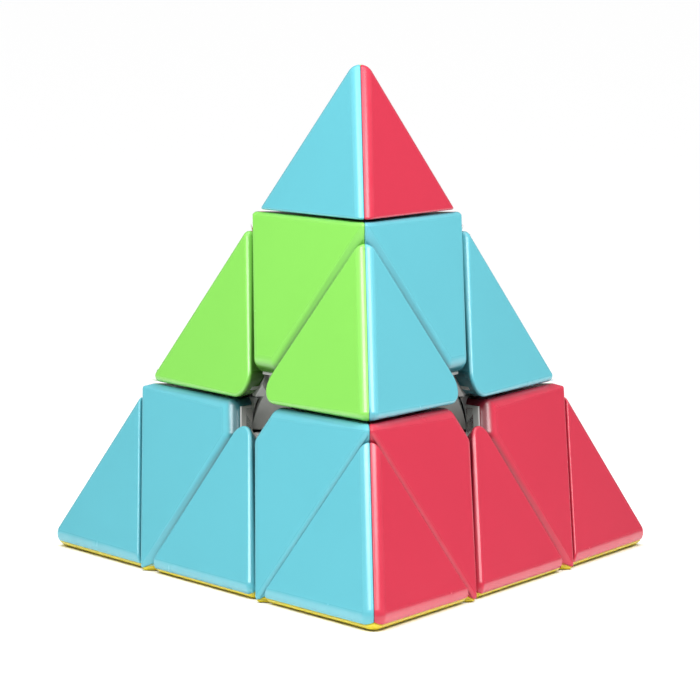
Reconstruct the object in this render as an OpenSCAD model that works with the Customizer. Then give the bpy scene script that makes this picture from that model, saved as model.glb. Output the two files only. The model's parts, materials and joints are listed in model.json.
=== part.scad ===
// Three-layer pyramid twisty puzzle.
//
// The origin is the centre of the core ball, where all four turning axes meet, and +Z runs
// up through the top corner. Every piece is cut from one tetrahedron by planes square to
// the four corner axes. A point's height along a corner's axis is its distance from the
// centre in that direction: the faces lie at a height of minus face_d, the layer cuts at
// cut_d and the tip cuts at tip_d.

/* [Overall size] */
// Edge of the pyramid, measured to its sharp corners
edge_length = 103; // [86:1:124]
// How far each rounded corner lies inside its sharp point, along the corner's axis
corner_round = 3.2; // [1.5:0.1:5]
// How far each rounded edge lies inside its sharp line
edge_round = 1.1; // [0.5:0.1:2]
// Strip of a centre piece that shows across an edge, between the tip and the edge piece
tip_land = 0.6; // [0.5:0.1:4]

/* [Coloured caps] */
// Thickness of a cap under its face
cap_skin = 1.8; // [1.2:0.1:2.6]
// Depth of a cap's side walls below its face
cap_depth = 4.6; // [3.5:0.1:6]
// Thickness of a cap's side walls
cap_wall = 1.1; // [0.8:0.1:1.6]
// How far a centre cap stops short of the layer cut at the middle of a face
centre_cut_back = 4.0; // [2:0.1:6]
// How far an edge cap's corner is cut back at the middle of a face
edge_cut_back = 2.6; // [1:0.1:4]
// How far an edge cap's two outer corners are cut back along the pyramid's edge
edge_end_cut = 1.0; // [0.3:0.1:2.5]

/* [Grey bases] */
// Thickness of the walls of a base
base_wall = 1.3; // [0.8:0.1:2]
// Thickness of the rounded floor of a base, over the mechanism ball
floor_wall = 1.8; // [1:0.1:3]
// Thickness of the plate under a tip
tip_plate = 2.0; // [1.2:0.1:3]
// How far the plate's sides lie inside the caps' skins
plate_inset = 0.3; // [0.2:0.1:0.6]
// Radius of the post that holds a tip's caps
post_r = 2.6; // [1.5:0.1:3.5]
// Height of the post above the plate
post_height = 9; // [7:0.5:10]

/* [Mechanism] */
// Distance from a face to the ball that the edge feet make up
ball_cover = 3.9; // [3.4:0.1:6]
// Thickness of an edge foot, from the core to the outside of the ball
foot_thickness = 6.7; // [5:0.1:7.5]
// Radius of a centre piece's stem, where it passes between the feet
stem_r = 5; // [4.4:0.1:5.6]
// Radius of the tube above the stem, inside a centre piece
tube_r = 6.2; // [5.8:0.1:7]
// Radius of the core's four screw bosses
boss_r = 4; // [3:0.1:4.4]
// How far the bosses stand out of the core ball
boss_height = 2.2; // [1:0.1:3]
// Thickness of the stem's floor, which the spring presses on
stem_floor = 2; // [1.2:0.1:3]
// Room between the sides of a foot and the stem of the nearest other corner
foot_margin = 1.1; // [0.6:0.1:2]
// Radius of the stub on which a tip turns
stub_r = 4; // [3:0.1:4.4]
// Depth of the socket for the stub
socket_depth = 6.5; // [4:0.1:8]
// How far the stub's snap bead stands out
bead = 0.5; // [0.2:0.1:0.8]
// Height of the snap bead
bead_height = 1; // [0.6:0.1:1.6]

/* [Screws and springs] */
// Radius of a core screw's shank
screw_r = 1.3; // [1:0.1:1.6]
// Depth of a core screw in the core, below the top of its boss
screw_grip = 7.5; // [4:0.1:9]
// Radius of a core screw's head
head_r = 2.8; // [2.2:0.1:3.2]
// Height of a core screw's head
head_height = 1.6; // [1.2:0.1:2.2]
// Width of the cross recess in a screw's head
recess_width = 0.8; // [0.5:0.1:1.2]
// Depth of the cross recess
recess_depth = 1; // [0.5:0.1:1.1]
// Radius of a spring, to the middle of its wire
spring_r = 2.4; // [2.1:0.1:2.8]
// Radius of a spring's wire
wire_r = 0.35; // [0.2:0.05:0.5]
// Length of a spring in place
spring_length = 6; // [4:0.1:7]
// Turns of a spring
spring_turns = 4; // [3:1:6]
// Radius of the washer between spring and head
washer_r = 3.2; // [2.8:0.1:3.4]
// Thickness of the washer
washer_thickness = 0.5; // [0.3:0.1:0.8]
// Radius of the spring's chamber in the stem
chamber_r = 3.6; // [3.4:0.1:3.8]

/* [Clearances] */
// Gap between two layers
layer_gap = 0.4; // [0.3:0.05:0.8]
// Gap over and under the edge feet, and round the stems
foot_gap = 0.3; // [0.2:0.05:0.5]
// Gap between a shaft and the hole it turns in
running_gap = 0.08; // [0.05:0.01:0.1]
// Gap between pieces that are glued together
glue_gap = 0.05; // [0.02:0.01:0.1]

/* [Hidden] */

// Corners of the pyramid
TOP = 0;
FRONT = 1;
LEFT = 2;
RIGHT = 3;
CORNERS = [
    [0, 0, 1],
    [0, -sqrt(8) / 3, -1 / 3],
    [-sqrt(2 / 3), sqrt(2) / 3, -1 / 3],
    [sqrt(2 / 3), sqrt(2) / 3, -1 / 3]
];

// Each face is named by the corner opposite it
BOTTOM_FACE = TOP;
BACK_FACE = FRONT;
RIGHT_FACE = LEFT;
LEFT_FACE = RIGHT;

BLUE = "#6fcbe0";
RED = "#dc3c55";
GREEN = "#86e86a";
YELLOW = "#e3d232";
GREY = "#c9c9c6";
STEEL = "#9aa0a6";
// Colours of the bottom, back, right and left faces, and of the top layer, which stands a
// third of a turn on
FACE_COLOURS = [YELLOW, GREEN, RED, BLUE];
TOP_LAYER_COLOURS = [YELLOW, RED, BLUE, GREEN];

// Heights along a corner's axis
step = edge_length * sqrt(2 / 3) / 12;
face_d = 3 * step;
edge_d = face_d * sqrt(3);
cut_d = step;
corner_d = 9 * step;
tip_d = 5 * step + tip_land * sqrt(2 / 3);
half_gap = layer_gap / 2;
span = edge_length;

// Mechanism, from the core outwards
ball_r = face_d - ball_cover;
core_r = ball_r - foot_thickness - foot_gap;
boss_top = core_r + boss_height;
stem_start = boss_top + foot_gap;
spring_start = stem_start + stem_floor + foot_gap;
washer_start = spring_start + spring_length;
head_start = washer_start + washer_thickness;
socket_start = tip_d - half_gap - socket_depth;
foot_d = stem_r * sqrt(8) / 3 - stem_start / 3 + foot_margin;
shell_r = ball_r + foot_gap;
neck_r = shell_r + floor_wall / 2;

fine = 96;

function unit(v) = v / norm(v);

// Corners other than the ones listed
function others(used) = [for (c = [TOP, FRONT, LEFT, RIGHT]) if (len(search(c, used)) == 0) c];

// Turns +Z onto the direction n
module orient(n) {
    rotate([0, acos(n.z), atan2(n.y, n.x)]) children();
}

// All of space that lies above, or below, the height d in the direction n
module above(n, d) {
    orient(n) translate([-span, -span, d]) cube(2 * span);
}

module below(n, d) {
    orient(n) translate([-span, -span, d - 2 * span]) cube(2 * span);
}

// A round bar on a corner's axis, between two heights
module bar(corner, r, low, high) {
    orient(CORNERS[corner]) translate([0, 0, low]) cylinder(h = high - low, r = r, $fn = fine);
}

// A slab under one face, between two depths
module face_slab(face, shallow, deep) {
    intersection() {
        below(-CORNERS[face], face_d - shallow);
        above(-CORNERS[face], face_d - deep);
    }
}

// The side of the middle plane between two faces on which the first one lies
module nearer(face, other, inset) {
    above(unit(CORNERS[other] - CORNERS[face]), inset);
}

// Takes the sharp line off the pyramid's edge between two faces
module rounded_edge(face, other, inset) {
    below(-unit(CORNERS[face] + CORNERS[other]), edge_d - edge_round - inset);
}

// ---- Edge pieces: between corners a and b ----

module edge_outline(a, b, inset) {
    end_d = edge_length / 6 - edge_end_cut - inset;
    intersection() {
        above(CORNERS[a], cut_d + half_gap + inset);
        above(CORNERS[b], cut_d + half_gap + inset);
        below(unit(CORNERS[a] - CORNERS[b]), end_d);
        below(unit(CORNERS[b] - CORNERS[a]), end_d);
    }
}

module edge_pocket(a, b, face, other, inset) {
    intersection() {
        edge_outline(a, b, cap_wall + inset);
        below(-CORNERS[face], face_d - cap_skin - inset);
        above(-CORNERS[face], face_d - 2 * cap_depth);
        nearer(face, other, cap_wall + inset);
        below(CORNERS[other], cut_d - edge_cut_back - cap_wall - inset);
    }
}

module edge_cap(a, b, face, colours) {
    other = others([a, b, face])[0];
    color(colours[face]) difference() {
        intersection() {
            edge_outline(a, b, 0);
            face_slab(face, 0, cap_depth);
            nearer(face, other, 0);
            rounded_edge(face, other, 0);
            below(CORNERS[other], cut_d - edge_cut_back);
        }
        edge_pocket(a, b, face, other, 0);
        sphere(r = neck_r + glue_gap, $fn = fine);
    }
}

// The foot: a piece of the ball that hooks under the two centre pieces beside it
module edge_hook(a, b) {
    intersection() {
        ball_shell(ball_r, core_r + foot_gap);
        foot_sides(a, b);
        stem_clear(a);
        stem_clear(b);
    }
}

// Joins the foot to the block above it
module edge_neck(a, b) {
    intersection() {
        ball_shell(neck_r, ball_r - floor_wall / 2);
        foot_sides(a, b);
        above(CORNERS[a], cut_d + half_gap);
        above(CORNERS[b], cut_d + half_gap);
    }
}

module ball_shell(outer_r, inner_r) {
    difference() {
        sphere(r = outer_r, $fn = fine);
        sphere(r = inner_r, $fn = fine);
    }
}

module foot_sides(a, b) {
    intersection() {
        above(CORNERS[a], foot_d + half_gap);
        above(CORNERS[b], foot_d + half_gap);
        intersection_for (c = others([a, b])) below(CORNERS[c], foot_d - half_gap);
    }
}

module stem_clear(corner) {
    difference() {
        sphere(r = 2 * ball_r, $fn = fine);
        bar(corner, stem_r + foot_gap, 0, 3 * ball_r);
    }
}

module edge_block(a, b) {
    faces = others([a, b]);
    difference() {
        union() {
            intersection() {
                edge_outline(a, b, 0);
                below(-CORNERS[faces[0]], face_d - cap_depth - glue_gap);
                below(-CORNERS[faces[1]], face_d - cap_depth - glue_gap);
            }
            edge_pocket(a, b, faces[0], faces[1], glue_gap);
            edge_pocket(a, b, faces[1], faces[0], glue_gap);
        }
        difference() {
            edge_outline(a, b, cap_wall + base_wall);
            sphere(r = shell_r + floor_wall, $fn = fine);
        }
        sphere(r = shell_r, $fn = fine);
    }
}

module edge_foot(a, b) {
    color(GREY) union() {
        edge_block(a, b);
        edge_neck(a, b);
        edge_hook(a, b);
    }
}

// ---- Centre pieces: on a corner's axis, between the layer cut and the tip ----

module centre_outline(c, inset) {
    intersection() {
        above(CORNERS[c], cut_d + half_gap + inset);
        below(CORNERS[c], tip_d - half_gap - inset);
        intersection_for (other = others([c])) below(CORNERS[other], cut_d - half_gap - inset);
    }
}

module centre_pocket(c, face, inset) {
    sides = others([c, face]);
    intersection() {
        centre_outline(c, cap_wall + inset);
        below(-CORNERS[face], face_d - cap_skin - inset);
        above(-CORNERS[face], face_d - 2 * cap_depth);
        nearer(face, sides[0], cap_wall + inset);
        nearer(face, sides[1], cap_wall + inset);
        above(CORNERS[c], cut_d + centre_cut_back);
    }
}

module centre_cap(c, face, colours) {
    sides = others([c, face]);
    color(colours[face]) difference() {
        intersection() {
            centre_outline(c, 0);
            face_slab(face, 0, cap_depth);
            nearer(face, sides[0], 0);
            nearer(face, sides[1], 0);
            rounded_edge(face, sides[0], 0);
            rounded_edge(face, sides[1], 0);
            above(CORNERS[c], cut_d + centre_cut_back);
        }
        centre_pocket(c, face, 0);
        bar(c, tube_r + glue_gap, 0, corner_d);
        sphere(r = shell_r, $fn = fine);
    }
}

module centre_block(c) {
    faces = others([c]);
    difference() {
        union() {
            intersection() {
                centre_outline(c, 0);
                intersection_for (face = faces)
                    below(-CORNERS[face], face_d - cap_depth - glue_gap);
            }
            for (face = faces) centre_pocket(c, face, glue_gap);
        }
        difference() {
            intersection() {
                centre_outline(c, cap_wall + base_wall);
                above(CORNERS[c], cut_d + centre_cut_back + base_wall);
            }
            sphere(r = shell_r + floor_wall, $fn = fine);
        }
        sphere(r = shell_r, $fn = fine);
    }
}

module centre_base(c) {
    groove_low = socket_start + bead_height;
    color(GREY) difference() {
        union() {
            centre_block(c);
            bar(c, stem_r, stem_start, shell_r + floor_wall);
            bar(c, tube_r, shell_r + floor_wall / 2, tip_d - half_gap);
        }
        bar(c, screw_r + running_gap, 0, corner_d);
        bar(c, chamber_r, stem_start + stem_floor, corner_d);
        bar(c, stub_r + running_gap, socket_start, corner_d);
        bar(c, stub_r + bead + foot_gap, groove_low - foot_gap, groove_low + bead_height + foot_gap);
    }
}

// ---- Tips: on a corner's axis, above the tip cut ----

module tip_pocket(c, face) {
    sides = others([c, face]);
    intersection() {
        above(CORNERS[c], tip_d);
        below(CORNERS[c], corner_d - corner_round - cap_skin);
        below(-CORNERS[face], face_d - cap_skin);
        nearer(face, sides[0], cap_wall);
        nearer(face, sides[1], cap_wall);
    }
}

module tip_plate_zone(c, faces, gap) {
    intersection() {
        above(CORNERS[c], tip_d + half_gap - gap);
        below(CORNERS[c], tip_d + half_gap + tip_plate + gap);
        intersection_for (face = faces)
            below(-CORNERS[face], face_d - cap_skin - plate_inset + gap);
    }
}

module tip_cap(c, face) {
    sides = others([c, face]);
    color(FACE_COLOURS[face]) difference() {
        intersection() {
            above(CORNERS[c], tip_d + half_gap);
            below(CORNERS[c], corner_d - corner_round);
            face_slab(face, 0, cap_depth);
            nearer(face, sides[0], 0);
            nearer(face, sides[1], 0);
            rounded_edge(face, sides[0], 0);
            rounded_edge(face, sides[1], 0);
        }
        tip_pocket(c, face);
        tip_plate_zone(c, [face], glue_gap);
        bar(c, post_r + glue_gap, tip_d, tip_d + half_gap + tip_plate + post_height + glue_gap);
    }
}

module tip_base(c) {
    plate_low = tip_d + half_gap;
    stub_low = socket_start + foot_gap;
    bead_low = socket_start + bead_height;
    color(GREY) union() {
        tip_plate_zone(c, others([c]), 0);
        bar(c, post_r, plate_low, plate_low + tip_plate + post_height);
        bar(c, stub_r, stub_low, plate_low + tip_plate / 2);
        bar(c, stub_r + bead, bead_low, bead_low + bead_height);
    }
}

// ---- Core, screws, washers and springs ----

module core() {
    corners = [TOP, FRONT, LEFT, RIGHT];
    color(GREY) difference() {
        union() {
            sphere(r = core_r, $fn = fine);
            for (c = corners) bar(c, boss_r, core_r / 2, boss_top);
        }
        for (c = corners) bar(c, screw_r, boss_top - screw_grip, corner_d);
    }
}

module core_screws() {
    head_top = head_start + head_height;
    color(STEEL) for (c = others([])) difference() {
        union() {
            bar(c, screw_r - glue_gap / 2, boss_top - screw_grip + glue_gap, head_start + head_height / 2);
            bar(c, head_r, head_start, head_top);
        }
        orient(CORNERS[c]) for (turn = [0, 90]) rotate(turn)
            translate([-head_r * 0.6, -recess_width / 2, head_top - recess_depth])
                cube([head_r * 1.2, recess_width, head_height]);
    }
}

module core_washers() {
    color(STEEL) for (c = others([])) difference() {
        bar(c, washer_r, washer_start, head_start);
        bar(c, screw_r + running_gap, 0, corner_d);
    }
}

// Points of a spring's wire: ring by ring along the helix
function wire_ring(angle, sides) = [
    for (s = [0 : sides - 1])
        let (out = spring_r + wire_r * cos(360 * s / sides))
        [
            out * cos(angle),
            out * sin(angle),
            wire_r * sin(360 * s / sides) + spring_height(angle)
        ]
];

function spring_height(angle) =
    wire_r + (spring_length - 2 * wire_r) * angle / (360 * spring_turns);

module spring() {
    sides = 6;
    rings = 12 * spring_turns;
    points = [
        for (r = [0 : rings]) each wire_ring(360 * spring_turns * r / rings, sides)
    ];
    walls = [
        for (r = [0 : rings - 1]) for (s = [0 : sides - 1])
            let (t = (s + 1) % sides, p = r * sides, q = (r + 1) * sides)
            [p + s, q + s, q + t, p + t]
    ];
    start = [for (s = [0 : sides - 1]) s];
    finish = [for (s = [sides - 1 : -1 : 0]) rings * sides + s];
    polyhedron(points = points, faces = concat(walls, [start, finish]), convexity = 8);
}

module core_springs() {
    color(STEEL) for (c = others([]))
        orient(CORNERS[c]) translate([0, 0, spring_start]) spring();
}

core();
core_screws();
core_springs();
core_washers();

tip_base(TOP);  // top_tip_base
tip_cap(TOP, LEFT_FACE);  // top_tip_left_cap
tip_cap(TOP, RIGHT_FACE);  // top_tip_right_cap
tip_cap(TOP, BACK_FACE);  // top_tip_back_cap
tip_base(FRONT);  // front_tip_base
tip_cap(FRONT, LEFT_FACE);  // front_tip_left_cap
tip_cap(FRONT, RIGHT_FACE);  // front_tip_right_cap
tip_cap(FRONT, BOTTOM_FACE);  // front_tip_bottom_cap
tip_base(LEFT);  // left_tip_base
tip_cap(LEFT, LEFT_FACE);  // left_tip_left_cap
tip_cap(LEFT, BACK_FACE);  // left_tip_back_cap
tip_cap(LEFT, BOTTOM_FACE);  // left_tip_bottom_cap
tip_base(RIGHT);  // right_tip_base
tip_cap(RIGHT, RIGHT_FACE);  // right_tip_right_cap
tip_cap(RIGHT, BACK_FACE);  // right_tip_back_cap
tip_cap(RIGHT, BOTTOM_FACE);  // right_tip_bottom_cap

centre_base(TOP);  // top_centre_base
centre_cap(TOP, LEFT_FACE, TOP_LAYER_COLOURS);  // top_centre_left_cap
centre_cap(TOP, RIGHT_FACE, TOP_LAYER_COLOURS);  // top_centre_right_cap
centre_cap(TOP, BACK_FACE, TOP_LAYER_COLOURS);  // top_centre_back_cap
centre_base(FRONT);  // front_centre_base
centre_cap(FRONT, LEFT_FACE, FACE_COLOURS);  // front_centre_left_cap
centre_cap(FRONT, RIGHT_FACE, FACE_COLOURS);  // front_centre_right_cap
centre_cap(FRONT, BOTTOM_FACE, FACE_COLOURS);  // front_centre_bottom_cap
centre_base(LEFT);  // left_centre_base
centre_cap(LEFT, LEFT_FACE, FACE_COLOURS);  // left_centre_left_cap
centre_cap(LEFT, BACK_FACE, FACE_COLOURS);  // left_centre_back_cap
centre_cap(LEFT, BOTTOM_FACE, FACE_COLOURS);  // left_centre_bottom_cap
centre_base(RIGHT);  // right_centre_base
centre_cap(RIGHT, RIGHT_FACE, FACE_COLOURS);  // right_centre_right_cap
centre_cap(RIGHT, BACK_FACE, FACE_COLOURS);  // right_centre_back_cap
centre_cap(RIGHT, BOTTOM_FACE, FACE_COLOURS);  // right_centre_bottom_cap

edge_foot(TOP, FRONT);  // top_front_edge_foot
edge_cap(TOP, FRONT, LEFT_FACE, TOP_LAYER_COLOURS);  // top_front_edge_left_cap
edge_cap(TOP, FRONT, RIGHT_FACE, TOP_LAYER_COLOURS);  // top_front_edge_right_cap
edge_foot(TOP, LEFT);  // top_left_edge_foot
edge_cap(TOP, LEFT, LEFT_FACE, TOP_LAYER_COLOURS);  // top_left_edge_left_cap
edge_cap(TOP, LEFT, BACK_FACE, TOP_LAYER_COLOURS);  // top_left_edge_back_cap
edge_foot(TOP, RIGHT);  // top_right_edge_foot
edge_cap(TOP, RIGHT, RIGHT_FACE, TOP_LAYER_COLOURS);  // top_right_edge_right_cap
edge_cap(TOP, RIGHT, BACK_FACE, TOP_LAYER_COLOURS);  // top_right_edge_back_cap
edge_foot(FRONT, LEFT);  // front_left_edge_foot
edge_cap(FRONT, LEFT, LEFT_FACE, FACE_COLOURS);  // front_left_edge_left_cap
edge_cap(FRONT, LEFT, BOTTOM_FACE, FACE_COLOURS);  // front_left_edge_bottom_cap
edge_foot(FRONT, RIGHT);  // front_right_edge_foot
edge_cap(FRONT, RIGHT, RIGHT_FACE, FACE_COLOURS);  // front_right_edge_right_cap
edge_cap(FRONT, RIGHT, BOTTOM_FACE, FACE_COLOURS);  // front_right_edge_bottom_cap
edge_foot(LEFT, RIGHT);  // left_right_edge_foot
edge_cap(LEFT, RIGHT, BACK_FACE, FACE_COLOURS);  // left_right_edge_back_cap
edge_cap(LEFT, RIGHT, BOTTOM_FACE, FACE_COLOURS);  // left_right_edge_bottom_cap
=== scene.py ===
"""Looks of a pyramid twisty puzzle.

The coloured caps are built as rounded solids: one tip cap, one centre cap and one edge cap
are cut from the pyramid by planes, filleted and hollowed, and then turned into every place
where the puzzle has one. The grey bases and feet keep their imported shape.

Lengths are in metres. A point's height along a corner's axis is its distance from the
centre of the core in that direction.
"""

import itertools
import json
import math

import bmesh
import bpy
from mathutils import Matrix, Vector


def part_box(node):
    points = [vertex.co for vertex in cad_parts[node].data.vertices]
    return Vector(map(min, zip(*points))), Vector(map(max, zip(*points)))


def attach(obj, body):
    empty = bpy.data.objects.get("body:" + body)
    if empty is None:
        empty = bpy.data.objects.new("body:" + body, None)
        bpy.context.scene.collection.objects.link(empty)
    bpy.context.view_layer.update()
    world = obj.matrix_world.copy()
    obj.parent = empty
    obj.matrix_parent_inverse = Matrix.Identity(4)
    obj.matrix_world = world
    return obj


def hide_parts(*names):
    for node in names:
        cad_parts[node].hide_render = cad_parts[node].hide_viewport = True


bl_info = {
    "name": "Pyramid twisty puzzle",
    "version": (1, 0, 0),
    "blender": (4, 5, 0),
    "location": "3D View > Sidebar > Puzzle",
    "description": "Builds the caps, inner parts, finishes and studio of a pyramid twisty puzzle",
    "category": "Object",
}

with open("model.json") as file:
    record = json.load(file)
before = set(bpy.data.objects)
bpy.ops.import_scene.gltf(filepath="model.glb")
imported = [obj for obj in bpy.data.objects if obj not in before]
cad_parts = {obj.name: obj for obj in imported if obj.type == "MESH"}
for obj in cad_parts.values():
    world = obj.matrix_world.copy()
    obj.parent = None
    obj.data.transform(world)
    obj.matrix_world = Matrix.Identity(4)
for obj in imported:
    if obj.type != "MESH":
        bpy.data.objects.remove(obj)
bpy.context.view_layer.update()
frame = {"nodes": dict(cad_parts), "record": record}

MM = 0.001
# Points that are nearer than this are one point
TOUCH = 1e-8
# Edges that turn less than this need no fillet
BLUNT = math.radians(25)
# Neighbouring faces of a hull that turn less than this become one face
LEVEL = math.radians(0.05)
# Three planes that span less than this share no corner
NO_CORNER = 1e-3
# A plane that leans less than this over a corner can't limit the ball in it
NO_LEAN = 1e-4
# Unit vectors that are nearer than this point the same way
SAME_DIRECTION = 0.01

# Steps across the balls in the corners of each kind of piece, and round the arcs between
# two planes
TIP_BALL_STEPS = 16
CENTRE_BALL_STEPS = 10
EDGE_BALL_STEPS = 6
ARC_STEPS = 10
# Steps round the fillets of a tip's low rim and of the seams between caps
RIM_SEGMENTS = 6
SEAM_SEGMENTS = 3
# How fine the ball and the post are that caps are hollowed with
BALL_SUBDIVISIONS = 5
POST_SEGMENTS = 64
# Half of the hairline between two caps of one piece
HAIRLINE = 0.01 * MM

# Numbers that tell a piece's faces apart: its outside, the tip's low side, the planes where
# two caps meet, and the back of a cap's walls
OUTSIDE, LOW, SEAM, BACK = -1, 0, 1, 2

# Unit vectors from the core to the four corners
CORNERS = {
    "top": Vector((0, 0, 1)),
    "front": Vector((0, -math.sqrt(8) / 3, -1 / 3)),
    "left": Vector((-math.sqrt(2 / 3), math.sqrt(2) / 3, -1 / 3)),
    "right": Vector((math.sqrt(2 / 3), math.sqrt(2) / 3, -1 / 3)),
}
# The corner opposite each face
OPPOSITE = {"bottom": "top", "back": "front", "right": "left", "left": "right"}
# Each face's colour, and each face's colour in the second layer, a third of a turn on
FACE_COLOUR = {"bottom": "yellow", "back": "green", "right": "red", "left": "blue"}
TOP_LAYER_COLOUR = {"back": "red", "right": "blue", "left": "green"}

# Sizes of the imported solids. Faces, layer cuts and tip cuts are given by their distance from
# the core's centre
bottom_low, bottom_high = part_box("left_right_edge_bottom_cap")
face_depth = -bottom_low.z
layer_cut = face_depth / 3
tip_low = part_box("top_tip_left_cap")[0].z
centre_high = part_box("top_centre_left_cap")[1].z
tip_cut = (tip_low + centre_high) / 2
half_gap = (tip_low - centre_high) / 2
packed_cap_depth = bottom_high.z + face_depth
# The pyramid with sharp corners is four face depths high
edge_length = 4 * face_depth / math.sqrt(2 / 3)

# Depths under its face between which a cap's outside is painted darker, as shade in a groove, and
# distances from the next face between which the pyramid's own edge gives way to the painted groove
# shade
GROOVE_START, GROOVE_END = 0.02 * MM, 0.9 * MM
GROOVE_NEAR, GROOVE_FAR = 1.5 * MM, 4.5 * MM
# Share of its colour that a cap keeps at the bottom of a groove, where shade is painted in
GROOVE_PAINTED_SHADE = 0.28
# Cosine between a flat face and the plane it lies in is above this
FLAT = 0.9995
# Edges that turn more than this stay sharp in the shading
SHARP = math.radians(32)
# How much more a big face counts than a small one in the shading of a shared corner
FLAT_WEIGHT = 80

# Each kind of plastic: its roughness from and to, how much lighter its rims are painted as a
# highlight, and the strength and size of its grain
CAP_PLASTIC = {"roughness": (0.25, 0.36), "rim_light": 0.03, "bump": 0.25, "grain": 0.25 * MM}
BASE_PLASTIC = {"roughness": (0.40, 0.55), "rim_light": 0.1, "bump": 0.4, "grain": 0.4 * MM}
CORE_PLASTIC = {"roughness": (0.42, 0.58), "rim_light": 0.1, "bump": 0.4, "grain": 0.5 * MM}
# Roughness of a rubbed rim as a share of the smoothest plastic's
RUBBED = 0.75
GRAIN_DEPTH = 0.02 * MM
STEEL_ROUGHNESS = (0.22, 0.42)
STEEL_GRAIN = 0.4 * MM
# Noise patches in a metre, in the slow shade and in the rubbed rims with their painted highlight
SLOW_SCALE = 60.0
RUB_SCALE = 260.0

# Place and power of the two soft boxes, their size, and the point that they are aimed at
SOFTBOXES = {"key": ((-0.10, -0.10, 0.18), 0.29), "fill": ((0.11, -0.09, 0.18), 0.26)}
SOFTBOX_SIZE = 0.09
LIT_POINT = (0, 0, 0.02)
OVERHEAD_STRENGTH = 2.55
OVERHEAD_ANGLE = math.radians(70)
SKY_STRENGTH = 0.25
FLOOR_SIZE = 40.0
FLOOR_ROUGHNESS = 0.9
SENSOR_WIDTH = 36
NEAREST_SEEN = 0.01


# ---- Settings ----


def length(name, description, default):
    """A size that a user can change."""
    return bpy.props.FloatProperty(
        name=name, description=description, default=default, subtype="DISTANCE", min=0, precision=5
    )


def colour(name, description, default):
    """A colour that a user can change."""
    return bpy.props.FloatVectorProperty(
        name=name, description=description, default=default, subtype="COLOR", size=3, min=0, max=1
    )


class CapSizes(bpy.types.PropertyGroup):
    """Sizes of the caps and of the hollows in them"""

    depth: length("Depth", "Depth of a cap's side walls below its face", packed_cap_depth)
    skin: length("Skin", "Thickness of a cap under its face", 1.8 * MM)
    wall: length("Wall", "Thickness of a cap's side walls", 1.1 * MM)
    centre_cut_back: length(
        "Centre cut-back", "How far a centre cap stops short of the layer cut", 4.0 * MM
    )
    edge_cut_back: length(
        "Edge cut-back", "How far an edge cap's hollow stops short of the layer cut", 2.6 * MM
    )
    edge_end_cut: length(
        "Edge end cut", "How far an edge cap's outer corners are cut back", 1.0 * MM
    )
    ball_radius: length("Ball radius", "Radius of the hollow in a centre cap", 17.425 * MM)
    neck_radius: length(
        "Neck radius", "Radius of the hollow in an edge cap, around the foot's neck", 18.375 * MM
    )
    post_radius: length("Post radius", "Radius of the post under a tip's caps", 2.65 * MM)
    post_top: length("Post top", "Height of the post above the tip cut", 11.25 * MM)
    plate_top: length("Plate top", "Height of the plate above the tip cut", 2.25 * MM)
    plate_inset: length("Plate inset", "Depth of the plate's sides under a face", 2.05 * MM)


class CapFillets(bpy.types.PropertyGroup):
    """How round each kind of edge and corner of the caps is"""

    pyramid_edge: length("Pyramid edge", "Radius along the pyramid's edges", 1.9 * MM)
    pyramid_corner: length("Pyramid corner", "Radius of the tips' points", 2.1 * MM)
    edge_end: length("Edge end", "Radius of an edge piece's two outer ends", 0.9 * MM)
    crisp: length("Crisp side", "Fillet along the sides of tips and edge pieces", 0.5 * MM)
    soft: length("Soft side", "Radius along the sides of centre pieces", 2.3 * MM)
    inner_corner: length("Inner corner", "Rounding of an edge piece at a face's middle", 3.2 * MM)
    centre_rim: length("Centre rim", "Radius of a centre piece's corners by the tip", 1.0 * MM)
    seam: length("Seam", "Fillet where two caps of one piece meet", 0.22 * MM)


class PlasticColours(bpy.types.PropertyGroup):
    """Colours of the plastics and of the steel"""

    blue: colour("Blue", "Light blue caps", (0.108, 0.455, 0.535))
    red: colour("Red", "Red caps", (0.570, 0.022, 0.056))
    green: colour("Green", "Light green caps", (0.215, 0.620, 0.085))
    yellow: colour("Yellow", "Yellow caps", (0.760, 0.620, 0.020))
    grey: colour("Grey", "Bases, feet and core", (0.520, 0.520, 0.500))
    steel: colour("Steel", "Screws, washers and springs", (0.420, 0.430, 0.440))


class StudioSettings(bpy.types.PropertyGroup):
    """The floor and the camera"""

    floor: colour("Floor", "Pale floor", (0.980, 0.980, 0.980))
    camera_azimuth: bpy.props.FloatProperty(
        name="Camera azimuth",
        description="Direction of the camera round the puzzle",
        default=math.radians(-2.29),
        subtype="ANGLE",
    )
    camera_elevation: bpy.props.FloatProperty(
        name="Camera elevation",
        description="Height of the camera above the horizon",
        default=math.radians(5.73),
        subtype="ANGLE",
    )
    camera_roll: bpy.props.FloatProperty(
        name="Camera roll",
        description="Tilt of the view",
        default=math.radians(0.25),
        subtype="ANGLE",
    )
    camera_distance: length("Camera distance", "From the camera to what it looks at", 0.585)
    focal_length: bpy.props.FloatProperty(
        name="Focal length",
        description="Of a lens over a 36 mm wide sensor",
        default=191.4,
        unit="CAMERA",
    )
    look_at: bpy.props.FloatVectorProperty(
        name="Look at",
        description="Point in the middle of the view",
        default=(-0.0014, 0.0, 0.0141),
        subtype="XYZ",
        size=3,
    )


# ---- Solids cut by planes ----


def unit_between(a, b):
    """The direction from corner b to corner a."""
    return (CORNERS[a] - CORNERS[b]).normalized()


def cut_solid(planes):
    """A closed convex solid below every plane. planes maps a name to an outward normal and
    a distance from the core's centre."""
    solid = bmesh.new()
    bmesh.ops.create_cube(solid, size=4 * edge_length)
    number_faces(solid)
    for normal, distance in planes.values():
        slice_off(solid, normal, distance, OUTSIDE)
    return solid


def number_faces(solid):
    """Gives a solid the layer that tells its faces apart, with all of them outside."""
    side = solid.faces.layers.int.new("side")
    for face in solid.faces:
        face[side] = OUTSIDE


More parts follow.
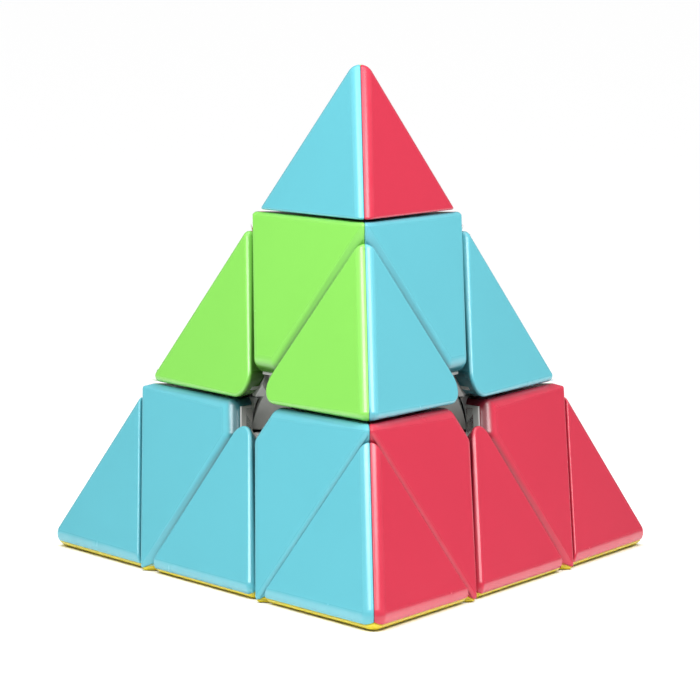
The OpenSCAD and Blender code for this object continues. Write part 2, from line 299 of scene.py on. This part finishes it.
def slice_off(solid, normal, distance, number):
    """Removes what lies above a plane and closes the cut with a face of that number."""
    side = solid.faces.layers.int["side"]
    everything = solid.verts[:] + solid.edges[:] + solid.faces[:]
    cut = bmesh.ops.bisect_plane(
        solid,
        geom=everything,
        dist=TOUCH,
        plane_co=normal * distance,
        plane_no=normal,
        clear_outer=True,
    )["geom_cut"]
    edges = [item for item in cut if isinstance(item, bmesh.types.BMEdge)]
    rim = [edge for edge in edges if len(edge.link_faces) < 2]
    if rim:
        for face in bmesh.ops.contextual_create(solid, geom=rim)["faces"]:
            face[side] = number
    solid.normal_update()


def arc_between(plane_a, plane_b, radius, count):
    """Planes that touch a round bar laid into the corner between two planes."""
    (normal_a, distance_a), (normal_b, distance_b) = plane_a, plane_b
    turn = normal_a.angle(normal_b)
    shared = normal_a.dot(normal_b)
    a, b = distance_a - radius, distance_b - radius
    middle = (normal_a * (a - shared * b) + normal_b * (b - shared * a)) / (1 - shared**2)
    planes = []
    for k in range(count):
        part = (k + 0.5) / count
        normal = normal_a * math.sin((1 - part) * turn) + normal_b * math.sin(part * turn)
        normal = normal.normalized()
        planes.append((normal, normal.dot(middle) + radius))
    return planes


def ball_patch(normals, distances, radius, steps):
    """Points of a ball that touches three planes, on the side that faces out between them."""
    middle = Matrix(normals).inverted() @ Vector([d - radius for d in distances])
    points = []
    for i in range(steps + 1):
        for j in range(steps + 1 - i):
            k = steps - i - j
            aim = normals[0] * i + normals[1] * j + normals[2] * k
            points.append(middle + aim.normalized() * radius)
    return points


def corner_balls(planes, radius_of, steps):
    """Points of a ball laid into each corner of the solid below every plane. radius_of takes
    the names of a corner's three planes; a ball that would break through another is less."""
    points = []
    for trio in itertools.combinations(planes, 3):
        normals = [planes[name][0] for name in trio]
        grid = Matrix(normals)
        if abs(grid.determinant()) < NO_CORNER:
            continue
        distances = [planes[name][1] for name in trio]
        corner = grid.inverted() @ Vector(distances)
        if any(normal.dot(corner) > distance + TOUCH for normal, distance in planes.values()):
            continue
        radius = radius_of(trio)
        pull = grid.inverted() @ Vector((1, 1, 1))
        for normal, distance in planes.values():
            lean = 1 - normal.dot(pull)
            if lean > NO_LEAN:
                radius = min(radius, (distance - normal.dot(corner)) / lean)
        points += ball_patch(normals, distances, radius, steps)
    return points


def hull(points):
    """The convex solid around some points."""
    solid = bmesh.new()
    for point in points:
        solid.verts.new(point)
    bmesh.ops.convex_hull(solid, input=solid.verts[:])
    loose = [vert for vert in solid.verts if not vert.link_faces]
    bmesh.ops.delete(solid, geom=loose, context="VERTS")
    bmesh.ops.dissolve_limit(
        solid, angle_limit=LEVEL, verts=solid.verts[:], edges=solid.edges[:]
    )
    number_faces(solid)
    return solid


def weigh_edges(solid, width_of):
    """Stores each edge's fillet as a bevel weight. width_of takes the two faces' numbers.
    Returns the widest fillet."""
    side = solid.faces.layers.int["side"]
    weight = solid.edges.layers.float.get("bevel_weight_edge")
    weight = weight or solid.edges.layers.float.new("bevel_weight_edge")
    widths = {}
    for edge in solid.edges:
        numbers = [face[side] for face in edge.link_faces]
        turned = len(numbers) == 2 and edge.calc_face_angle() > BLUNT
        widths[edge] = width_of(*numbers) if turned else 0
    widest = max(widths.values())
    for edge, width in widths.items():
        edge[weight] = width / widest if widest else 0
    return widest


def to_object(solid, name):
    """Makes a solid an object in the scene, with its faces turned outwards."""
    mesh = bpy.data.meshes.new(name)
    bmesh.ops.recalc_face_normals(solid, faces=solid.faces[:])
    solid.to_mesh(mesh)
    solid.free()
    shape = bpy.data.objects.new(name, mesh)
    bpy.context.scene.collection.objects.link(shape)
    return shape


def discard(shape):
    """Removes an object and its mesh."""
    mesh = shape.data
    bpy.data.objects.remove(shape)
    bpy.data.meshes.remove(mesh)


def apply_modifiers(shape):
    """Turns an object with modifiers into a plain mesh."""
    graph = bpy.context.evaluated_depsgraph_get()
    graph.update()
    mesh = bpy.data.meshes.new_from_object(shape.evaluated_get(graph), depsgraph=graph)
    old = shape.data
    shape.modifiers.clear()
    shape.data = mesh
    bpy.data.meshes.remove(old)


def fillet(shape, width, segments):
    """Rounds the edges that have a bevel weight."""
    bevel = shape.modifiers.new("Fillets", "BEVEL")
    bevel.limit_method = "WEIGHT"
    bevel.offset_type = "OFFSET"
    bevel.width = width
    bevel.segments = segments
    bevel.profile = 0.5
    bevel.use_clamp_overlap = False
    bevel.miter_outer = "MITER_SHARP"
    apply_modifiers(shape)


def take_away(shape, other):
    """Cuts another object out of a shape and discards it."""
    cut = shape.modifiers.new("Hollow", "BOOLEAN")
    cut.operation = "DIFFERENCE"
    cut.solver = "EXACT"
    cut.object = other
    apply_modifiers(shape)
    discard(other)


def ball(radius):
    """A ball about the core's centre."""
    solid = bmesh.new()
    bmesh.ops.create_icosphere(solid, subdivisions=BALL_SUBDIVISIONS, radius=radius)
    return to_object(solid, "ball")


def round_bar(normal, radius, low, high):
    """A bar on a corner's axis, from one height to another."""
    solid = bmesh.new()
    turned = Vector((0, 0, 1)).rotation_difference(normal).to_matrix().to_4x4()
    place = Matrix.Translation(normal * (low + high) / 2) @ turned
    bmesh.ops.create_cone(
        solid,
        cap_ends=True,
        segments=POST_SEGMENTS,
        radius1=radius,
        radius2=radius,
        depth=high - low,
        matrix=place,
    )
    return to_object(solid, "bar")


# ---- The three caps ----


def cap_from_piece(name, piece, face, neighbours, sizes, fillets, hollow):
    """Keeps one face's share of a whole piece, rounds the seams towards the neighbouring
    faces and takes the hollow out of it."""
    share = bmesh.new()
    share.from_mesh(piece.data)
    discard(piece)
    for neighbour in neighbours:
        normal = -unit_between(OPPOSITE[neighbour], OPPOSITE[face])
        slice_off(share, normal, -HAIRLINE, SEAM)
    slice_off(share, CORNERS[OPPOSITE[face]], sizes.depth - face_depth, BACK)

    def seam_width(a, b):
        meets_outside = (a == SEAM) != (b == SEAM) and BACK not in (a, b)
        return fillets.seam if meets_outside else 0

    widest = weigh_edges(share, seam_width)
    cap = to_object(share, name)
    if widest:
        fillet(cap, widest, SEAM_SEGMENTS)
    for part in hollow:
        take_away(cap, part)
    return cap


def pocket(planes):
    """The hollow below every plane, as an object."""
    return to_object(cut_solid(planes), "pocket")


def tip_cap(sizes, fillets):
    """The left cap of the top tip."""
    corner, face = "top", "left"
    outer = [-CORNERS[OPPOSITE[other]] for other in ("left", "right", "back")]
    points = ball_patch(outer, [face_depth] * 3, fillets.pyramid_corner, TIP_BALL_STEPS)
    # The balls below the low plane carry the rounded edges down to it
    below = [face_depth, face_depth, -(tip_cut - 3 * fillets.pyramid_edge)]
    for k in range(3):
        normals = [outer[k], outer[k - 1], -CORNERS[corner]]
        points += ball_patch(normals, below, fillets.pyramid_edge, TIP_BALL_STEPS)
    solid = hull(points)
    slice_off(solid, -CORNERS[corner], -(tip_cut + half_gap), LOW)
    widest = weigh_edges(solid, lambda a, b: fillets.crisp if LOW in (a, b) else 0)
    tip = to_object(solid, "tip")
    if widest:
        fillet(tip, widest, RIM_SEGMENTS)

    skin = face_depth - sizes.skin
    inner = {"face": (-CORNERS[OPPOSITE[face]], skin), "low": (-CORNERS[corner], -tip_cut)}
    for other in ("right", "back"):
        inner[other] = (-unit_between(OPPOSITE[other], OPPOSITE[face]), -sizes.wall)
    plate = {
        "face": (-CORNERS[OPPOSITE[face]], face_depth - sizes.plate_inset),
        "low": (-CORNERS[corner], -tip_cut),
        "high": (CORNERS[corner], tip_cut + sizes.plate_top),
    }
    post = round_bar(CORNERS[corner], sizes.post_radius, tip_cut, tip_cut + sizes.post_top)
    hollow = [pocket(inner), pocket(plate), post]
    return cap_from_piece("tip_cap", tip, face, ("right", "back"), sizes, fillets, hollow)


def centre_cap(sizes, fillets):
    """The left cap of the top centre piece."""
    corner, face = "top", "left"
    low = layer_cut + sizes.centre_cut_back
    planes = {
        "low": (-CORNERS[corner], -low),
        "high": (CORNERS[corner], tip_cut - half_gap),
    }
    for other in ("left", "right", "back"):
        planes[other] = (-CORNERS[OPPOSITE[other]], face_depth)
        planes[other + " side"] = (CORNERS[OPPOSITE[other]], layer_cut - half_gap)

    def radius_of(trio):
        faces = [n for n in trio if n in OPPOSITE]
        if not faces:
            return fillets.seam
        if "high" in trio:
            return fillets.centre_rim if len(faces) == 2 else fillets.crisp
        return fillets.pyramid_edge if len(faces) == 2 else fillets.soft

    piece = to_object(hull(corner_balls(planes, radius_of, CENTRE_BALL_STEPS)), "centre")

    skin = face_depth - sizes.skin
    wall = sizes.wall
    inner = {
        "face": (-CORNERS[OPPOSITE[face]], skin),
        "low": (-CORNERS[corner], -low),
        "high": (CORNERS[corner], tip_cut - half_gap - wall),
        "corner side": (CORNERS[OPPOSITE[face]], layer_cut - half_gap - wall),
    }
    for other in ("right", "back"):
        inner[other] = (-unit_between(OPPOSITE[other], OPPOSITE[face]), -wall)
        inner[other + " side"] = (CORNERS[OPPOSITE[other]], layer_cut - half_gap - wall)
    hollow = [pocket(inner), ball(sizes.ball_radius)]
    return cap_from_piece("centre_cap", piece, face, ("right", "back"), sizes, fillets, hollow)


def edge_cap(sizes, fillets):
    """The left cap of the top front edge piece."""
    ends, face, other = ("top", "front"), "left", "right"
    sides = [(-CORNERS[near], -(layer_cut + half_gap)) for near in ends]
    faces = [(-CORNERS[OPPOSITE[name]], face_depth) for name in (face, other)]
    rim = sides + arc_between(*sides, fillets.inner_corner, ARC_STEPS)
    roll = arc_between(*faces, fillets.pyramid_edge, ARC_STEPS)
    planes = {("face", k): plane for k, plane in enumerate(faces)}
    planes |= {("roll", k): plane for k, plane in enumerate(roll)}
    planes |= {("rim", k): plane for k, plane in enumerate(rim)}

    def radius_of(trio):
        on_roll = any(kind == "roll" for kind, k in trio)
        return fillets.edge_end if on_roll else fillets.crisp

    piece = to_object(hull(corner_balls(planes, radius_of, EDGE_BALL_STEPS)), "edge")

    # An edge piece is a third of the pyramid's edge long
    end_height = edge_length / 6 - sizes.edge_end_cut
    wall = sizes.wall
    inner = {
        "face": (-CORNERS[OPPOSITE[face]], face_depth - sizes.skin),
        "seam": (-unit_between(OPPOSITE[other], OPPOSITE[face]), -wall),
        "inner": (CORNERS[OPPOSITE[other]], layer_cut - sizes.edge_cut_back - wall),
    }
    for near, far in (ends, ends[::-1]):
        inner[near + " side"] = (-CORNERS[near], -(layer_cut + half_gap + wall))
        inner[near + " end"] = (unit_between(near, far), end_height - wall)
    hollow = [pocket(inner), ball(sizes.neck_radius)]
    return cap_from_piece("edge_cap", piece, face, (other,), sizes, fillets, hollow)


def turn_between(corner, face):
    """The turn of the pyramid that takes the top corner and the left face to these."""
    start = Matrix(
        (CORNERS["top"], CORNERS["right"], CORNERS["top"].cross(CORNERS["right"]))
    ).transposed()
    a, b = CORNERS[corner], CORNERS[OPPOSITE[face]]
    finish = Matrix((a, b, a.cross(b))).transposed()
    return (finish @ start.inverted()).to_euler()


# ---- Geometry Nodes: one cap, turned into its place ----


def placing_tree():
    """Turns a cap about the core's centre and gives it its plastic."""
    tree = bpy.data.node_groups.new("Cap in its place", "GeometryNodeTree")
    face = tree.interface
    face.new_socket("Cap", in_out="INPUT", socket_type="NodeSocketObject")
    face.new_socket("Turn", in_out="INPUT", socket_type="NodeSocketRotation")
    face.new_socket("Plastic", in_out="INPUT", socket_type="NodeSocketMaterial")
    face.new_socket("Geometry", in_out="OUTPUT", socket_type="NodeSocketGeometry")
    nodes, links = tree.nodes, tree.links
    start = nodes.new("NodeGroupInput")
    source = nodes.new("GeometryNodeObjectInfo")
    source.transform_space = "ORIGINAL"
    source.inputs["As Instance"].default_value = True
    turn = nodes.new("GeometryNodeRotateInstances")
    turn.inputs["Local Space"].default_value = False
    real = nodes.new("GeometryNodeRealizeInstances")
    paint = nodes.new("GeometryNodeSetMaterial")
    end = nodes.new("NodeGroupOutput")
    links.new(start.outputs["Cap"], source.inputs["Object"])
    links.new(source.outputs["Geometry"], turn.inputs["Instances"])
    links.new(start.outputs["Turn"], turn.inputs["Rotation"])
    links.new(turn.outputs["Instances"], real.inputs["Geometry"])
    links.new(real.outputs["Geometry"], paint.inputs["Geometry"])
    links.new(start.outputs["Plastic"], paint.inputs["Material"])
    links.new(paint.outputs["Geometry"], end.inputs["Geometry"])
    return tree


def socket_id(tree, name):
    """The identifier of a tree's input."""
    return next(
        item.identifier
        for item in tree.interface.items_tree
        if item.name == name and item.in_out == "INPUT"
    )


def place_cap(tree, cap, corner, face, slot, node, body):
    """Turns a cap from the top corner and the left face to its own, in place of its node."""
    shape = bpy.data.objects.new(node + "_shape", bpy.data.meshes.new(node + "_shape"))
    bpy.context.scene.collection.objects.link(shape)
    place = shape.modifiers.new("Place", "NODES")
    place.node_group = tree
    place[socket_id(tree, "Cap")] = cap
    place[socket_id(tree, "Turn")] = turn_between(corner, face)
    place[socket_id(tree, "Plastic")] = finishes()[slot]
    apply_modifiers(shape)
    finish_mesh(shape)
    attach(shape, body)
    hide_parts(node)


def eased(value, low, high):
    """From 0 at the low value to 1 at the high one, slow at both ends."""
    part = min(max((value - low) / (high - low), 0.0), 1.0)
    return part * part * (3 - 2 * part)


def mark_rims_and_painted_shade(mesh):
    """Stores on each face whether it belongs to a fillet, and on each vertex how far it lies
    down a groove between two pieces, which sets how much shade is painted into its colour."""
    outward = [-corner for corner in CORNERS.values()]
    flat = outward + list(CORNERS.values())
    rim = mesh.attributes.new("rim", "FLOAT", "FACE")
    for polygon in mesh.polygons:
        on_plane = max(polygon.normal.dot(normal) for normal in flat) > FLAT
        rim.data[polygon.index].value = 0.0 if on_plane else 1.0
    # How far down a groove each vertex lies, which sets the painted groove shade
    groove = mesh.attributes.new("groove", "FLOAT", "POINT")
    for vert in mesh.vertices:
        depths = sorted(face_depth - normal.dot(vert.co) for normal in outward)
        down = eased(depths[0], GROOVE_START, GROOVE_END)
        groove.data[vert.index].value = down * eased(depths[1], GROOVE_NEAR, GROOVE_FAR)


def finish_mesh(shape):
    """Smooth shading that stays flat on the flat faces."""
    # Marks the fillets, and how much shade is painted down the grooves
    mark_rims_and_painted_shade(shape.data)
    for polygon in shape.data.polygons:
        polygon.use_smooth = True
    shape.data.set_sharp_from_angle(angle=SHARP)
    weighted = shape.modifiers.new("Flat faces", "WEIGHTED_NORMAL")
    weighted.keep_sharp = True
    weighted.weight = FLAT_WEIGHT
    apply_modifiers(shape)


# ---- Finishes ----


def moulded_grain():
    """Fine moulded grain with slow unevenness. Puts out a height, a mask and a shade."""
    group = bpy.data.node_groups.new("Moulded grain", "ShaderNodeTree")
    sockets = group.interface
    for name, default in (("Grain size", CAP_PLASTIC["grain"]), ("Shade spread", 0.05)):
        socket = sockets.new_socket(name, in_out="INPUT", socket_type="NodeSocketFloat")
        socket.default_value = default
    for name in ("Height", "Mask", "Shade"):
        sockets.new_socket(name, in_out="OUTPUT", socket_type="NodeSocketFloat")
    nodes, links = group.nodes, group.links
    start, end = nodes.new("NodeGroupInput"), nodes.new("NodeGroupOutput")
    place = nodes.new("ShaderNodeTexCoord")
    density = nodes.new("ShaderNodeMath")
    density.operation = "DIVIDE"
    density.inputs[0].default_value = 1.0
    links.new(start.outputs["Grain size"], density.inputs[1])
    grain = nodes.new("ShaderNodeTexNoise")
    grain.inputs["Detail"].default_value = 3.0
    grain.inputs["Roughness"].default_value = 0.6
    links.new(place.outputs["Object"], grain.inputs["Vector"])
    links.new(density.outputs[0], grain.inputs["Scale"])
    slow = nodes.new("ShaderNodeTexNoise")
    slow.inputs["Scale"].default_value = SLOW_SCALE
    slow.inputs["Detail"].default_value = 2.0
    links.new(place.outputs["Object"], slow.inputs["Vector"])
    centred = nodes.new("ShaderNodeMath")
    centred.operation = "SUBTRACT"
    centred.inputs[1].default_value = 0.5
    shade = nodes.new("ShaderNodeMath")
    shade.operation = "MULTIPLY_ADD"
    links.new(slow.outputs["Fac"], centred.inputs[0])
    links.new(centred.outputs[0], shade.inputs[0])
    links.new(start.outputs["Shade spread"], shade.inputs[1])
    shade.inputs[2].default_value = 1.0
    links.new(grain.outputs["Fac"], end.inputs["Height"])
    links.new(slow.outputs["Fac"], end.inputs["Mask"])
    links.new(shade.outputs[0], end.inputs["Shade"])
    return group


def rub_and_highlight_mask():
    """A mask of the fillets, which hands rubbed smooth and which get a painted highlight, broken
    up so that no rim is even.
    """
    group = bpy.data.node_groups.new("Rubbed rims", "ShaderNodeTree")
    sockets = group.interface
    socket = sockets.new_socket("Amount", in_out="INPUT", socket_type="NodeSocketFloat")
    socket.default_value = 1.0
    sockets.new_socket("Mask", in_out="OUTPUT", socket_type="NodeSocketFloat")
    nodes, links = group.nodes, group.links
    start, end = nodes.new("NodeGroupInput"), nodes.new("NodeGroupOutput")
    rim = nodes.new("ShaderNodeAttribute")
    rim.attribute_name = "rim"
    place = nodes.new("ShaderNodeTexCoord")
    patches = nodes.new("ShaderNodeTexNoise")
    patches.inputs["Scale"].default_value = RUB_SCALE
    patches.inputs["Detail"].default_value = 2.0
    links.new(place.outputs["Object"], patches.inputs["Vector"])
    broken = nodes.new("ShaderNodeMath")
    broken.operation = "MULTIPLY"
    links.new(rim.outputs["Fac"], broken.inputs[0])
    links.new(patches.outputs["Fac"], broken.inputs[1])
    scaled = nodes.new("ShaderNodeMath")
    scaled.operation = "MULTIPLY"
    scaled.use_clamp = True
    links.new(broken.outputs[0], scaled.inputs[0])
    links.new(start.outputs["Amount"], scaled.inputs[1])
    links.new(scaled.outputs[0], end.inputs["Mask"])
    return group


def plastic(name, base, kind, grain, rub_and_highlight):
    """A moulded plastic: its colour, with shade painted darker down the grooves, its roughness
    range, a rim painted lighter as a highlight and smoother, and its grain."""
    smooth, coarse = kind["roughness"]
    material = bpy.data.materials.new(name + " plastic")
    material.use_nodes = True
    material.diffuse_color = (*base, 1)
    nodes, links = material.node_tree.nodes, material.node_tree.links
    shader = nodes["Principled BSDF"]
    shader.inputs["IOR"].default_value = 1.5
    shader.inputs["Coat Roughness"].default_value = 0.2
    texture = nodes.new("ShaderNodeGroup")
    texture.node_tree = grain
    texture.inputs["Grain size"].default_value = kind["grain"]
    # The rims' mask: a painted highlight in the colour, rubbed smoothness in the roughness
    rims = nodes.new("ShaderNodeGroup")
    rims.node_tree = rub_and_highlight
    shaded = nodes.new("ShaderNodeHueSaturation")
    shaded.inputs["Color"].default_value = (*base, 1)
    links.new(texture.outputs["Shade"], shaded.inputs["Value"])
    # Painted highlight: the rims' colour mixed towards white
    painted_highlight = nodes.new("ShaderNodeMix")
    painted_highlight.data_type = "RGBA"
    painted_highlight.inputs["B"].default_value = (*[c + (1 - c) * kind["rim_light"] for c in base], 1)
    links.new(rims.outputs["Mask"], painted_highlight.inputs["Factor"])
    links.new(shaded.outputs["Color"], painted_highlight.inputs["A"])
    # Painted shade: the colour is darkened down the grooves between pieces
    groove = nodes.new("ShaderNodeAttribute")
    groove.attribute_name = "groove"
    painted_groove_shade = nodes.new("ShaderNodeMix")
    painted_groove_shade.data_type = "RGBA"
    painted_groove_shade.inputs["B"].default_value = (*[c * GROOVE_PAINTED_SHADE for c in base], 1)
    links.new(groove.outputs["Fac"], painted_groove_shade.inputs["Factor"])
    links.new(painted_highlight.outputs["Result"], painted_groove_shade.inputs["A"])
    links.new(painted_groove_shade.outputs["Result"], shader.inputs["Base Color"])
    rough = nodes.new("ShaderNodeMapRange")
    rough.inputs["To Min"].default_value = smooth
    rough.inputs["To Max"].default_value = coarse
    links.new(texture.outputs["Mask"], rough.inputs["Value"])
    smoother = nodes.new("ShaderNodeMix")
    smoother.data_type = "FLOAT"
    smoother.inputs["B"].default_value = smooth * RUBBED
    links.new(rims.outputs["Mask"], smoother.inputs["Factor"])
    links.new(rough.outputs["Result"], smoother.inputs["A"])
    links.new(smoother.outputs["Result"], shader.inputs["Roughness"])
    bump = nodes.new("ShaderNodeBump")
    bump.inputs["Strength"].default_value = kind["bump"]
    bump.inputs["Distance"].default_value = GRAIN_DEPTH
    links.new(texture.outputs["Height"], bump.inputs["Height"])
    links.new(bump.outputs["Normal"], shader.inputs["Normal"])
    return material


def steel(base, grain):
    """The steel of the screws, washers and springs."""
    material = bpy.data.materials.new("bright steel")
    material.use_nodes = True
    nodes, links = material.node_tree.nodes, material.node_tree.links
    shader = nodes["Principled BSDF"]
    shader.inputs["Metallic"].default_value = 1.0
    texture = nodes.new("ShaderNodeGroup")
    texture.node_tree = grain
    texture.inputs["Grain size"].default_value = STEEL_GRAIN
    shaded = nodes.new("ShaderNodeHueSaturation")
    shaded.inputs["Color"].default_value = (*base, 1)
    links.new(texture.outputs["Shade"], shaded.inputs["Value"])
    links.new(shaded.outputs["Color"], shader.inputs["Base Color"])
    rough = nodes.new("ShaderNodeMapRange")
    rough.inputs["To Min"].default_value = STEEL_ROUGHNESS[0]
    rough.inputs["To Max"].default_value = STEEL_ROUGHNESS[1]
    links.new(texture.outputs["Height"], rough.inputs["Value"])
    links.new(rough.outputs["Result"], shader.inputs["Roughness"])
    return material


# Each of the record's material slots and its finish, once made
FINISHES = {}


def finishes():
    """Makes every material once."""
    if FINISHES:
        return FINISHES
    colours = bpy.context.scene.puzzle_colours
    grain, rub_and_highlight = moulded_grain(), rub_and_highlight_mask()
    for name in ("blue", "red", "green", "yellow"):
        base = tuple(getattr(colours, name))
        FINISHES[name + "_cap"] = plastic(name, base, CAP_PLASTIC, grain, rub_and_highlight)
    grey = tuple(colours.grey)
    FINISHES["base_grey"] = plastic("base", grey, BASE_PLASTIC, grain, rub_and_highlight)
    FINISHES["core_grey"] = plastic("core", grey, CORE_PLASTIC, grain, rub_and_highlight)
    FINISHES["steel"] = steel(tuple(colours.steel), grain)
    return FINISHES


def face_of(node):
    """The face that a cap's node is named for."""
    return node.split("_")[-2]


def cap_colour(node):
    """The material slot of a cap's node."""
    top_layer = node.startswith("top_centre") or (node.startswith("top_") and "_edge_" in node)
    return (TOP_LAYER_COLOUR if top_layer else FACE_COLOUR)[face_of(node)] + "_cap"


def place_all(cap, part, corner_of):
    """Places a cap for every cap node of the tips, centres or edges. corner_of takes a body
    and a face and gives the corner that the top corner is turned to."""
    tree = bpy.data.node_groups.get("Cap in its place") or placing_tree()
    bodies = frame["record"]["behaviour"]["bodies"]
    for body in [name for name in bodies if name.endswith(part)]:
        for node in [name for name in bodies[body] if name.endswith("_cap")]:
            face = face_of(node)
            place_cap(tree, cap, corner_of(body, face), face, cap_colour(node), node, body)
    discard(cap)


def own_corner(body, face):
    """The corner of a tip or a centre piece, which all of its caps are at."""
    return body.split("_")[0]


def edge_corner(body, face):
    """The corner that an edge cap is turned from the top to. The edge cap that is built
    first lies on the left face and meets the right one, which is opposite the left corner."""
    ends = body.split("_")[:2]
    other = next(c for c in CORNERS if c not in ends and c != OPPOSITE[face])
    return next(c for c in ends if takes_left_to(other, c, face))


def takes_left_to(other, corner, face):
    """Whether the turn to a corner and a face takes the left corner to another one."""
    turned = turn_between(corner, face).to_matrix() @ CORNERS["left"]
    return (turned - CORNERS[other]).length < SAME_DIRECTION


# ---- Operators ----


class PUZZLE_OT_tip_caps(bpy.types.Operator):
    """Builds the coloured caps of the tips"""

    bl_idname = "puzzle.tip_caps"
    bl_label = "Tip caps"

    def execute(self, context):
        cap = tip_cap(context.scene.puzzle_caps, context.scene.puzzle_fillets)
        place_all(cap, "_tip", own_corner)
        return {"FINISHED"}


class PUZZLE_OT_centre_caps(bpy.types.Operator):
    """Builds the coloured caps of the centre pieces"""

    bl_idname = "puzzle.centre_caps"
    bl_label = "Centre caps"

    def execute(self, context):
        cap = centre_cap(context.scene.puzzle_caps, context.scene.puzzle_fillets)
        place_all(cap, "_centre", own_corner)
        return {"FINISHED"}


class PUZZLE_OT_edge_caps(bpy.types.Operator):
    """Builds the coloured caps of the edge pieces"""

    bl_idname = "puzzle.edge_caps"
    bl_label = "Edge caps"

    def execute(self, context):
        cap = edge_cap(context.scene.puzzle_caps, context.scene.puzzle_fillets)
        place_all(cap, "_edge", edge_corner)
        return {"FINISHED"}


class PUZZLE_OT_inner_parts(bpy.types.Operator):
    """Gives the bases, feet, core, screws, washers and springs their finish"""

    bl_idname = "puzzle.inner_parts"
    bl_label = "Inner parts"

    def execute(self, context):
        slots = {part["node"]: part["material_slot"] for part in frame["record"]["subparts"]}
        for node, shape in frame["nodes"].items():
            if not node.endswith("_cap"):
                shape.data.materials.clear()
                shape.data.materials.append(finishes()[slots[node]])
        return {"FINISHED"}


def softbox(name, place, power):
    """A square soft light aimed at the puzzle."""
    light = bpy.data.lights.new(name, "AREA")
    light.shape = "SQUARE"
    light.size = SOFTBOX_SIZE
    light.energy = power
    lamp = bpy.data.objects.new(name, light)
    lamp.location = place
    aim = Vector(LIT_POINT) - Vector(place)
    lamp.rotation_euler = aim.to_track_quat("-Z", "Y").to_euler()
    bpy.context.scene.collection.objects.link(lamp)


def paper_floor(settings):
    """A wide sheet of paper under the puzzle."""
    solid = bmesh.new()
    bmesh.ops.create_grid(solid, x_segments=1, y_segments=1, size=FLOOR_SIZE)
    floor = to_object(solid, "floor")
    floor.data.transform(Matrix.Translation((0, 0, -face_depth)))
    sheet = bpy.data.materials.new("floor_paper")
    sheet.use_nodes = True
    paper = sheet.node_tree.nodes["Principled BSDF"]
    paper.inputs["Base Color"].default_value = (*settings.floor, 1)
    paper.inputs["Roughness"].default_value = FLOOR_ROUGHNESS
    floor.data.materials.append(sheet)


def lights():
    """A white room, two soft boxes in front and a wide light overhead."""
    scene = bpy.context.scene
    world = bpy.data.worlds.new("studio")
    world.use_nodes = True
    room = world.node_tree.nodes["Background"]
    room.inputs["Color"].default_value = (1, 1, 1, 1)
    room.inputs["Strength"].default_value = SKY_STRENGTH
    scene.world = world
    for name, (place, power) in SOFTBOXES.items():
        softbox(name, place, power)
    overhead = bpy.data.lights.new("overhead", "SUN")
    overhead.energy = OVERHEAD_STRENGTH
    overhead.angle = OVERHEAD_ANGLE
    scene.collection.objects.link(bpy.data.objects.new("overhead", overhead))


def camera(settings):
    """The camera, turned round what it looks at."""
    lens = bpy.data.cameras.new("camera")
    lens.sensor_width = SENSOR_WIDTH
    lens.lens = settings.focal_length
    lens.clip_start = NEAREST_SEEN
    azimuth, elevation = settings.camera_azimuth, settings.camera_elevation
    away = Vector(
        (
            math.sin(azimuth) * math.cos(elevation),
            -math.cos(azimuth) * math.cos(elevation),
            math.sin(elevation),
        )
    )
    viewer = bpy.data.objects.new("camera", lens)
    viewer.location = Vector(settings.look_at) + away * settings.camera_distance
    aim = (-away).to_track_quat("-Z", "Y").to_matrix().to_4x4()
    roll = Matrix.Rotation(settings.camera_roll, 4, "Z")
    viewer.rotation_euler = (aim @ roll).to_euler()
    bpy.context.scene.collection.objects.link(viewer)
    bpy.context.scene.camera = viewer


class PUZZLE_OT_studio(bpy.types.Operator):
    """Builds the pale floor, the soft lights and the camera"""

    bl_idname = "puzzle.studio"
    bl_label = "Studio"

    def execute(self, context):
        settings = context.scene.puzzle_studio
        paper_floor(settings)
        lights()
        camera(settings)
        context.scene.view_settings.view_transform = "Standard"
        return {"FINISHED"}


class PUZZLE_PT_panel(bpy.types.Panel):
    """Lists the steps that build the puzzle"""

    bl_idname = "PUZZLE_PT_panel"
    bl_label = "Pyramid puzzle"
    bl_space_type = "VIEW_3D"
    bl_region_type = "UI"
    bl_category = "Puzzle"

    def draw(self, context):
        for operator in OPERATORS:
            self.layout.operator(operator.bl_idname)
        for group in SETTINGS:
            settings = getattr(context.scene, group)
            box = self.layout.box()
            for name in settings.bl_rna.properties.keys():
                if name not in ("rna_type", "name"):
                    box.prop(settings, name)


OPERATORS = [
    PUZZLE_OT_tip_caps,
    PUZZLE_OT_centre_caps,
    PUZZLE_OT_edge_caps,
    PUZZLE_OT_inner_parts,
    PUZZLE_OT_studio,
]
SETTINGS = {
    "puzzle_caps": CapSizes,
    "puzzle_fillets": CapFillets,
    "puzzle_colours": PlasticColours,
    "puzzle_studio": StudioSettings,
}


def register():
    for group in SETTINGS.values():
        bpy.utils.register_class(group)
    for name, group in SETTINGS.items():
        setattr(bpy.types.Scene, name, bpy.props.PointerProperty(type=group))
    for item in [*OPERATORS, PUZZLE_PT_panel]:
        bpy.utils.register_class(item)


def unregister():
    for item in [PUZZLE_PT_panel, *reversed(OPERATORS)]:
        bpy.utils.unregister_class(item)
    for name, group in SETTINGS.items():
        delattr(bpy.types.Scene, name)
        bpy.utils.unregister_class(group)


def main():
    """Builds the whole scene."""
    register()
    bpy.ops.puzzle.tip_caps()
    bpy.ops.puzzle.centre_caps()
    bpy.ops.puzzle.edge_caps()
    bpy.ops.puzzle.inner_parts()
    bpy.ops.puzzle.studio()


if __name__ == "__main__":
    main()
